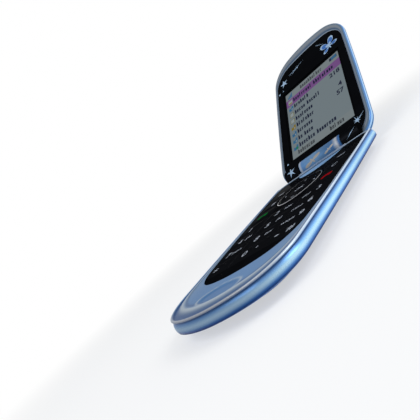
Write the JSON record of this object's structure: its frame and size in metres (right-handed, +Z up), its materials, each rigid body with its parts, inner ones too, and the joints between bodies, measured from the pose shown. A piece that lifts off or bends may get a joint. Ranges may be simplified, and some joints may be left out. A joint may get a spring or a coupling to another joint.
{
  "type": "flip phone",
  "caption": "Clamshell mobile phone open on a coaxial barrel hinge: pressable keypad keys, rocking navigation ring, display lid and sliding battery cover.",
  "frame": {"origin": "middle of the flat underside of the base", "axes": "+X to the right of someone using the keypad, +Y from the chin towards the hinge, +Z up out of the keypad"},
  "size_m": [0.0494, 0.159, 0.0547],
  "materials": {
    "blue_shell": "metallic paint, satin",
    "dark_blue_shell": "metallic paint, satin",
    "black_gloss": "high gloss",
    "silver_trim": "satin",
    "steel": "brushed",
    "silicone": "matte",
    "board": "solder mask",
    "battery": "printed wrap",
    "contact": "gold flash",
    "card": "matte",
    "dark_plastic": "matte",
    "flex": "polyimide",
    "lcd": "polariser"
  },
  "bodies": {
    "base": {"base_lower_shell": "dark_blue_shell", "base_upper_shell": "blue_shell", "keypad_plate": "black_gloss", "nav_trim": "silver_trim", "keymat": "silicone", "dome_sheet": "steel", "main_board": "board", "shield_can": "steel", "battery": "battery", "battery_contacts": "contact", "sim_holder": "steel", "sim_card": "card", "antenna": "card", "microphone": "steel", "loudspeaker": "dark_plastic", "vibration_motor": "steel", "data_connector": "steel", "base_screws": "steel", "hinge_cover": "dark_blue_shell", "hinge_cartridge": "steel", "hinge_bush": "steel", "base_flex": "flex"},
    "lid": {"lid_inner_shell": "blue_shell", "lid_outer_shell": "blue_shell", "lid_knuckles": "black_gloss", "display_window": "black_gloss", "display_module": "lcd", "lid_board": "board", "earpiece": "dark_plastic", "outer_window": "black_gloss", "outer_display": "lcd", "camera_module": "dark_plastic", "camera_bezel": "silver_trim", "lid_screws": "steel", "lid_flex": "flex", "hinge_shaft": "steel"},
    "key_1": {"key_1": "black_gloss"},
    "key_2": {"key_2": "black_gloss"},
    "key_3": {"key_3": "black_gloss"},
    "key_4": {"key_4": "black_gloss"},
    "key_5": {"key_5": "black_gloss"},
    "key_6": {"key_6": "black_gloss"},
    "key_7": {"key_7": "black_gloss"},
    "key_8": {"key_8": "black_gloss"},
    "key_9": {"key_9": "black_gloss"},
    "key_star": {"key_star": "black_gloss"},
    "key_0": {"key_0": "black_gloss"},
    "key_hash": {"key_hash": "black_gloss"},
    "soft_key_left": {"soft_key_left": "black_gloss"},
    "soft_key_right": {"soft_key_right": "black_gloss"},
    "menu_key": {"menu_key": "black_gloss"},
    "clear_key": {"clear_key": "black_gloss"},
    "call_key": {"call_key": "black_gloss"},
    "end_key": {"end_key": "black_gloss"},
    "ok_key": {"ok_key": "black_gloss"},
    "nav_web": {"nav_web": "card"},
    "nav_ring": {"nav_ring": "black_gloss"},
    "volume_rocker": {"volume_rocker": "dark_blue_shell"},
    "battery_cover": {"battery_cover": "dark_blue_shell"}
  },
  "joints": [
    {"name": "lid_hinge", "type": "hinge", "parent": "base", "child": "lid", "pos_m": [0, 0.04485, 0.00715], "axis": [1, 0, 0], "range_deg": [0, 143]},
    {"name": "key_1_press", "type": "slide", "parent": "base", "child": "key_1", "axis": [0, 0, 1], "range_m": [-0.00035, 0], "stiffness_N_per_m": 300, "springref_m": 0.0002},
    {"name": "key_2_press", "type": "slide", "parent": "base", "child": "key_2", "axis": [0, 0, 1], "range_m": [-0.00035, 0], "stiffness_N_per_m": 300, "springref_m": 0.0002},
    {"name": "key_3_press", "type": "slide", "parent": "base", "child": "key_3", "axis": [0, 0, 1], "range_m": [-0.00035, 0], "stiffness_N_per_m": 300, "springref_m": 0.0002},
    {"name": "key_4_press", "type": "slide", "parent": "base", "child": "key_4", "axis": [0, 0, 1], "range_m": [-0.00035, 0], "stiffness_N_per_m": 300, "springref_m": 0.0002},
    {"name": "key_5_press", "type": "slide", "parent": "base", "child": "key_5", "axis": [0, 0, 1], "range_m": [-0.00035, 0], "stiffness_N_per_m": 300, "springref_m": 0.0002},
    {"name": "key_6_press", "type": "slide", "parent": "base", "child": "key_6", "axis": [0, 0, 1], "range_m": [-0.00035, 0], "stiffness_N_per_m": 300, "springref_m": 0.0002},
    {"name": "key_7_press", "type": "slide", "parent": "base", "child": "key_7", "axis": [0, 0, 1], "range_m": [-0.00035, 0], "stiffness_N_per_m": 300, "springref_m": 0.0002},
    {"name": "key_8_press", "type": "slide", "parent": "base", "child": "key_8", "axis": [0, 0, 1], "range_m": [-0.00035, 0], "stiffness_N_per_m": 300, "springref_m": 0.0002},
    {"name": "key_9_press", "type": "slide", "parent": "base", "child": "key_9", "axis": [0, 0, 1], "range_m": [-0.00035, 0], "stiffness_N_per_m": 300, "springref_m": 0.0002},
    {"name": "key_star_press", "type": "slide", "parent": "base", "child": "key_star", "axis": [0, 0, 1], "range_m": [-0.00035, 0], "stiffness_N_per_m": 300, "springref_m": 0.0002},
    {"name": "key_0_press", "type": "slide", "parent": "base", "child": "key_0", "axis": [0, 0, 1], "range_m": [-0.00035, 0], "stiffness_N_per_m": 300, "springref_m": 0.0002},
    {"name": "key_hash_press", "type": "slide", "parent": "base", "child": "key_hash", "axis": [0, 0, 1], "range_m": [-0.00035, 0], "stiffness_N_per_m": 300, "springref_m": 0.0002},
    {"name": "soft_key_left_press", "type": "slide", "parent": "base", "child": "soft_key_left", "axis": [0, 0, 1], "range_m": [-0.00035, 0], "stiffness_N_per_m": 300, "springref_m": 0.0002},
    {"name": "soft_key_right_press", "type": "slide", "parent": "base", "child": "soft_key_right", "axis": [0, 0, 1], "range_m": [-0.00035, 0], "stiffness_N_per_m": 300, "springref_m": 0.0002},
    {"name": "menu_key_press", "type": "slide", "parent": "base", "child": "menu_key", "axis": [0, 0, 1], "range_m": [-0.00035, 0], "stiffness_N_per_m": 300, "springref_m": 0.0002},
    {"name": "clear_key_press", "type": "slide", "parent": "base", "child": "clear_key", "axis": [0, 0, 1], "range_m": [-0.00035, 0], "stiffness_N_per_m": 300, "springref_m": 0.0002},
    {"name": "call_key_press", "type": "slide", "parent": "base", "child": "call_key", "axis": [0, 0, 1], "range_m": [-0.00035, 0], "stiffness_N_per_m": 300, "springref_m": 0.0002},
    {"name": "end_key_press", "type": "slide", "parent": "base", "child": "end_key", "axis": [0, 0, 1], "range_m": [-0.00035, 0], "stiffness_N_per_m": 300, "springref_m": 0.0002},
    {"name": "ok_key_press", "type": "slide", "parent": "base", "child": "ok_key", "axis": [0, 0, 1], "range_m": [-0.00035, 0], "stiffness_N_per_m": 300, "springref_m": 0.0002},
    {"name": "nav_web_rock", "type": "hinge", "parent": "base", "child": "nav_web", "pos_m": [0, 0.01535, 0.0059], "axis": [1, 0, 0], "range_deg": [-1.2, 1.2], "stiffness_Nm_per_rad": 0.03},
    {"name": "nav_ring_rock", "type": "hinge", "parent": "nav_web", "child": "nav_ring", "pos_m": [0, 0.01535, 0.0059], "axis": [0, 1, 0], "range_deg": [-1.2, 1.2], "stiffness_Nm_per_rad": 0.03},
    {"name": "volume_rock", "type": "hinge", "parent": "base", "child": "volume_rocker", "pos_m": [-0.0229, -0.00715, 0.0043], "axis": [0, 0, 1], "range_deg": [-1.4, 1.4], "stiffness_Nm_per_rad": 0.03},
    {"name": "battery_cover_slide", "type": "slide", "parent": "base", "child": "battery_cover", "axis": [0, -1, 0], "range_m": [0, 0.008]}
  ]
}
